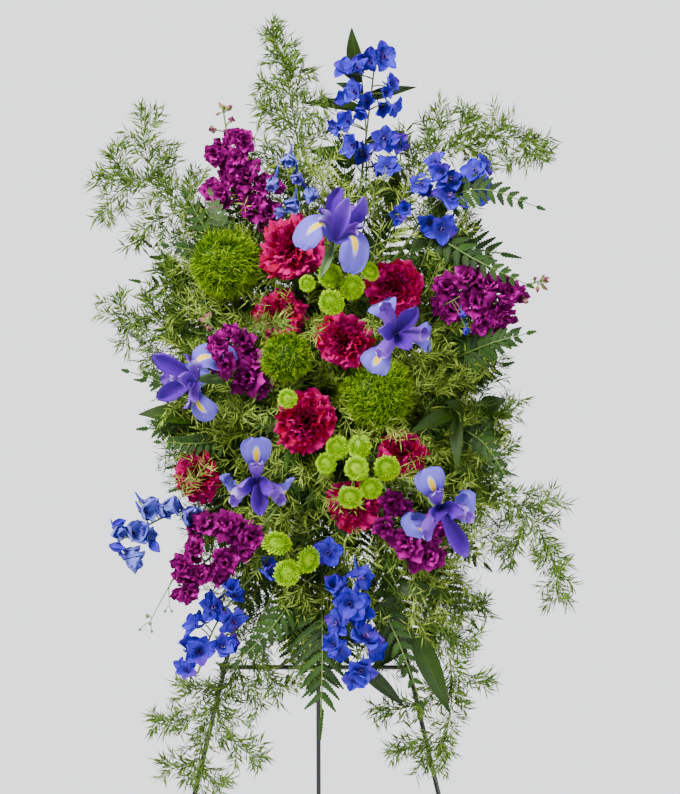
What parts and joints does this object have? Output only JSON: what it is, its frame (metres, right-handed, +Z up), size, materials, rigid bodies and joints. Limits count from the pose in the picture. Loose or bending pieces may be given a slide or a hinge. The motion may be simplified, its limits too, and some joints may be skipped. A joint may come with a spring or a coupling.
{
  "type": "standing funeral spray on a wire easel",
  "caption": "Mixed spray of cut flowers and foliage pushed into a foam block, whose cage hangs from a folding three-legged wire easel.",
  "frame": {"origin": "on the floor under the middle of the whole, with the easel open", "axes": "+Z up, -Y towards the front of the spray, +X to the right of someone who faces it"},
  "size_m": [0.5957, 0.6738, 1.537],
  "materials": {
    "black_paint": "semi-gloss black lacquer on wire",
    "green_plastic": "moulded dark green plastic, satin",
    "tie_plastic": "black nylon tie",
    "wet_foam": "fine open-cell phenolic foam, dark green and matt",
    "petals_crimson": "frilled carnation petals, velvety",
    "tufts_green": "dense fine green bracts",
    "petals_iris": "thin satiny lilac-blue petals with a yellow mark on each fall",
    "petals_plum": "ruffled double florets, velvety",
    "petals_blue": "thin blue sepals with a pale centre",
    "petals_lime": "small firm petals, yellow-green",
    "leaves_fern": "leathery dark green leaflets with a silvery sheen",
    "leaves_ruscus": "leathery olive-green leaves with a waxy sheen",
    "needles": "fine bright green needles"
  },
  "bodies": {
    "stand": {"easel_leg_left": "black_paint", "easel_leg_right": "black_paint", "easel_crossbar": "black_paint", "easel_hinge_bar": "black_paint", "easel_top_hook": "black_paint", "easel_leg_stop": "black_paint", "cage_tray": "green_plastic", "cage_grid": "green_plastic", "tie_left": "tie_plastic", "tie_right": "tie_plastic", "foam_block": "wet_foam", "carnation_1": "petals_crimson", "carnation_2": "petals_crimson", "carnation_3": "petals_crimson", "carnation_4": "petals_crimson", "carnation_5": "petals_crimson", "carnation_6": "petals_crimson", "carnation_7": "petals_crimson", "carnation_8": "petals_crimson", "green_trick_1": "tufts_green", "green_trick_2": "tufts_green", "green_trick_3": "tufts_green", "iris_1": "petals_iris", "iris_2": "petals_iris", "iris_3": "petals_iris", "iris_4": "petals_iris", "iris_5": "petals_iris", "stock_1": "petals_plum", "stock_2": "petals_plum", "stock_3": "petals_plum", "stock_4": "petals_plum", "stock_5": "petals_plum", "delphinium_1": "petals_blue", "delphinium_2": "petals_blue", "delphinium_3": "petals_blue", "delphinium_4": "petals_blue", "delphinium_5": "petals_blue", "delphinium_6": "petals_blue", "chrysanthemum_1": "petals_lime", "chrysanthemum_2": "petals_lime", "chrysanthemum_3": "petals_lime", "chrysanthemum_4": "petals_lime", "fern_upper_left": "leaves_fern", "fern_left": "leaves_fern", "fern_lower_left": "leaves_fern", "fern_upper_right": "leaves_fern", "fern_right": "leaves_fern", "fern_bottom": "leaves_fern", "ruscus_top": "leaves_ruscus", "ruscus_left": "leaves_ruscus", "ruscus_right": "leaves_ruscus", "ruscus_bottom": "leaves_ruscus", "asparagus_top": "needles", "asparagus_upper_left": "needles", "asparagus_upper_right": "needles", "asparagus_left": "needles", "asparagus_right": "needles", "asparagus_bottom_right": "needles", "asparagus_lower_left": "needles"},
    "back_leg": {"easel_back_leg": "black_paint"}
  },
  "joints": [
    {"name": "back_leg_fold", "type": "hinge", "parent": "stand", "child": "back_leg", "pos_m": [0, -0.05211, 1.17674], "axis": [1, 0, 0], "range_deg": [-26, 0]}
  ]
}
